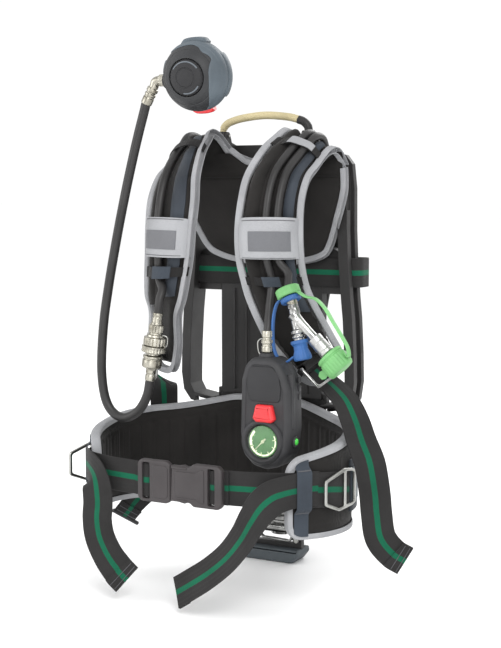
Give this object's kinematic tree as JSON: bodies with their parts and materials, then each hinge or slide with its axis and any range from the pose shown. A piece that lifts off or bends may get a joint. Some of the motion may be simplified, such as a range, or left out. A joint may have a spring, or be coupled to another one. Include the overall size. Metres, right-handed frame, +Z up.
{
  "type": "breathing apparatus",
  "caption": "Firefighting breathing apparatus harness: backplate, hip belt, shoulder straps, pressure reducer, hoses, demand regulator, gauge console and dust-capped connectors.",
  "frame": {"origin": "on the bottom face of the bumper, below the middle of the spine, at the plane of the spine front face", "axes": "+X to the left of the wearer, -Y towards the front buckle, +Y towards the cylinder side, +Z up the back"},
  "size_m": [0.5333, 0.4388, 0.818],
  "materials": {
    "frame_plastic": "fine-grain moulded",
    "bumper_rubber": "matte moulded rubber",
    "webbing": "woven textile",
    "padding": "woven textile",
    "reflective": "woven textile",
    "hose_rubber": "matte moulded rubber",
    "steel": "satin steel",
    "nickel": "satin nickel plate",
    "aluminium": "clear anodised",
    "brass": "machined brass",
    "handle_tan": "matte moulded rubber",
    "regulator_dark": "fine-grain moulded",
    "regulator_slate": "fine-grain moulded",
    "cap_rubber": "matte moulded rubber",
    "red_plastic": "smooth moulded",
    "console_dark": "fine-grain moulded",
    "dial_glow": "fine-grain moulded",
    "dial_green": "fine-grain moulded",
    "lens": "clear lens",
    "blue_rubber": "matte moulded rubber",
    "green_rubber": "matte moulded rubber",
    "buckle_plastic": "fine-grain moulded",
    "silicone": "matte moulded rubber",
    "battery": "smooth moulded"
  },
  "bodies": {
    "frame": {"backplate_spine": "frame_plastic", "side_rails": "frame_plastic", "backplate_crossbar": "frame_plastic", "lower_backplate": "frame_plastic", "bumper": "bumper_rubber", "pivot_pins": "steel", "cylinder_cradle": "bumper_rubber", "frame_screws": "steel", "cylinder_strap": "webbing", "cam_buckle_base": "steel", "reducer_body": "nickel", "reducer_cap": "nickel", "reducer_spring": "steel", "connector_nipple": "brass", "reducer_bracket": "aluminium", "shoulder_yoke": "padding", "shoulder_pads": "padding", "strap_bands": "reflective", "supply_hose": "hose_rubber", "gauge_hose": "hose_rubber", "fill_hose": "hose_rubber", "coupling_socket": "nickel", "manifold_body": "nickel", "pull_straps": "webbing"},
    "handle": {"carry_handle": "handle_tan"},
    "cam_lever": {"cam_buckle_lever": "frame_plastic"},
    "connector_wheel": {"handwheel": "frame_plastic"},
    "piston": {"reducer_piston": "brass"},
    "belt": {"hip_pad": "padding", "lumbar_pivot": "steel", "waist_webbing": "webbing", "buckle_socket": "buckle_plastic", "hip_ring_brackets": "regulator_slate"},
    "tongue": {"buckle_tongue": "buckle_plastic"},
    "prong_upper": {"buckle_prong_upper": "buckle_plastic"},
    "prong_lower": {"buckle_prong_lower": "buckle_plastic"},
    "ring_right": {"hip_ring_right": "steel"},
    "ring_left": {"hip_ring_left": "steel"},
    "adjuster_right": {"adjuster_ring_right": "steel"},
    "adjuster_left": {"adjuster_ring_left": "steel"},
    "sleeve": {"coupling_sleeve": "nickel"},
    "demand_hose": {"coupling_plug": "nickel", "regulator_hose": "hose_rubber"},
    "elbow": {"hose_elbow": "nickel"},
    "regulator": {"regulator_housing": "regulator_slate", "regulator_cover": "regulator_dark"},
    "cap": {"push_cap": "cap_rubber"},
    "membrane": {"diaphragm": "silicone"},
    "valve_lever": {"demand_lever": "steel"},
    "release": {"release_button": "red_plastic"},
    "console": {"console_front": "console_dark", "console_rear": "console_dark", "gauge_dial": "dial_glow", "gauge_lens": "lens", "console_battery": "battery"},
    "needle": {"gauge_needle": "regulator_dark"},
    "alarm": {"alarm_button": "red_plastic"},
    "side_key": {"side_button": "dial_green"},
    "dust_cap_blue": {"blue_cap": "blue_rubber"},
    "dust_cap_green": {"green_cap": "green_rubber"}
  },
  "joints": [
    {"name": "hip_belt_swivel", "type": "hinge", "parent": "frame", "child": "belt", "pos_m": [0, 0, 0.19], "axis": [0, 1, 0], "range_deg": [-5, 5]},
    {"name": "handle_pivot", "type": "hinge", "parent": "frame", "child": "handle", "pos_m": [0, -0.02, 0.682], "axis": [1, 0, 0], "range_deg": [-70, 35]},
    {"name": "cam_lever_pivot", "type": "hinge", "parent": "frame", "child": "cam_lever", "pos_m": [-0.113, 0.053, 0.47], "axis": [0, 0, -1], "range_deg": [0, 100]},
    {"name": "handwheel_spin", "type": "hinge", "parent": "frame", "child": "connector_wheel", "pos_m": [0.004, 0.095, 0.07], "axis": [0, 0, 1], "continuous": true},
    {"name": "reducer_piston_travel", "type": "slide", "parent": "frame", "child": "piston", "axis": [0, 0, 1], "range_m": [0, 0.0012], "deforming": ["reducer_spring"]},
    {"name": "buckle_release", "type": "slide", "parent": "belt", "child": "tongue", "axis": [-1, 0, 0], "range_m": [0, 0.035]},
    {"name": "buckle_prong_upper_flex", "type": "hinge", "parent": "tongue", "child": "prong_upper", "pos_m": [-0.018, -0.2845, 0.203], "axis": [0, 1, 0], "range_deg": [0, 5]},
    {"name": "buckle_prong_lower_flex", "type": "hinge", "parent": "tongue", "child": "prong_lower", "pos_m": [-0.018, -0.2845, 0.159], "axis": [0, -1, 0], "range_deg": [0, 5]},
    {"name": "hip_ring_right_pivot", "type": "hinge", "parent": "belt", "child": "ring_right", "pos_m": [0.217, -0.16, 0.176], "axis": [0, 0, 1], "range_deg": [0, 12]},
    {"name": "hip_ring_left_pivot", "type": "hinge", "parent": "belt", "child": "ring_left", "pos_m": [-0.217, -0.16, 0.176], "axis": [0, 0, -1], "range_deg": [-25, 60]},
    {"name": "adjuster_right_tilt", "type": "hinge", "parent": "frame", "child": "adjuster_right", "pos_m": [0.15014, -0.16472, 0.34966], "axis": [0.1305, 0.9537, 0.271], "range_deg": [-10, 3]},
    {"name": "adjuster_left_tilt", "type": "hinge", "parent": "frame", "child": "adjuster_left", "pos_m": [-0.12301, -0.14921, 0.34695], "axis": [-0.6222, 0.7828, 0], "range_deg": [-8, 8]},
    {"name": "coupling_sleeve_slide", "type": "slide", "parent": "frame", "child": "sleeve", "axis": [-0.1469, 0, -0.9892], "range_m": [0, 0.004]},
    {"name": "coupling_swivel", "type": "hinge", "parent": "frame", "child": "demand_hose", "pos_m": [-0.085, -0.203, 0.415], "axis": [0.1469, 0, 0.9892], "range_deg": [-15, 15]},
    {"name": "elbow_swivel", "type": "hinge", "parent": "demand_hose", "child": "elbow", "pos_m": [-0.0905, -0.203, 0.7465], "axis": [0.4903, 0, 0.8716], "range_deg": [-45, 45]},
    {"name": "regulator_swivel", "type": "hinge", "parent": "elbow", "child": "regulator", "pos_m": [-0.07, -0.203, 0.757], "axis": [1, 0, 0], "range_deg": [-75, 75]},
    {"name": "push_cap_press", "type": "slide", "parent": "regulator", "child": "cap", "axis": [-0.078, 0.9876, 0.1361], "range_m": [0, 0.003]},
    {"name": "diaphragm_travel", "type": "slide", "parent": "regulator", "child": "membrane", "axis": [-0.078, 0.9876, 0.1361], "range_m": [0, 0.003]},
    {"name": "demand_lever_tilt", "type": "hinge", "parent": "regulator", "child": "valve_lever", "pos_m": [-0.04108, -0.21568, 0.75925], "axis": [0, -0.1365, 0.9906], "range_deg": [0, 6]},
    {"name": "release_button_press", "type": "slide", "parent": "regulator", "child": "release", "axis": [0, -0.1365, 0.9906], "range_m": [0, 0.002]},
    {"name": "console_swivel", "type": "hinge", "parent": "frame", "child": "console", "pos_m": [0.104, -0.214, 0.38], "axis": [0, 0, 1], "range_deg": [-20, 20]},
    {"name": "gauge_needle_sweep", "type": "hinge", "parent": "console", "child": "needle", "pos_m": [0.1083, -0.236, 0.2426], "axis": [0, 1, 0], "range_deg": [0, 270]},
    {"name": "alarm_button_press", "type": "slide", "parent": "console", "child": "alarm", "axis": [0, 1, 0], "range_m": [0, 0.002]},
    {"name": "side_button_press", "type": "slide", "parent": "console", "child": "side_key", "axis": [-1, 0, 0], "range_m": [0, 0.0012]},
    {"name": "blue_cap_pull", "type": "slide", "parent": "frame", "child": "dust_cap_blue", "axis": [0.2362, -0.037, -0.971], "range_m": [0, 0.008]},
    {"name": "green_cap_pull", "type": "slide", "parent": "frame", "child": "dust_cap_green", "axis": [0.7012, 0.0501, -0.7112], "range_m": [0, 0.012]}
  ],
  "couplings": [
    {"joint": "buckle_prong_lower_flex", "follows": "buckle_prong_upper_flex", "ratio": 1},
    {"joint": "diaphragm_travel", "follows": "push_cap_press", "ratio": 1},
    {"joint": "demand_lever_tilt", "follows": "push_cap_press", "rad_per_m": 33.3}
  ]
}
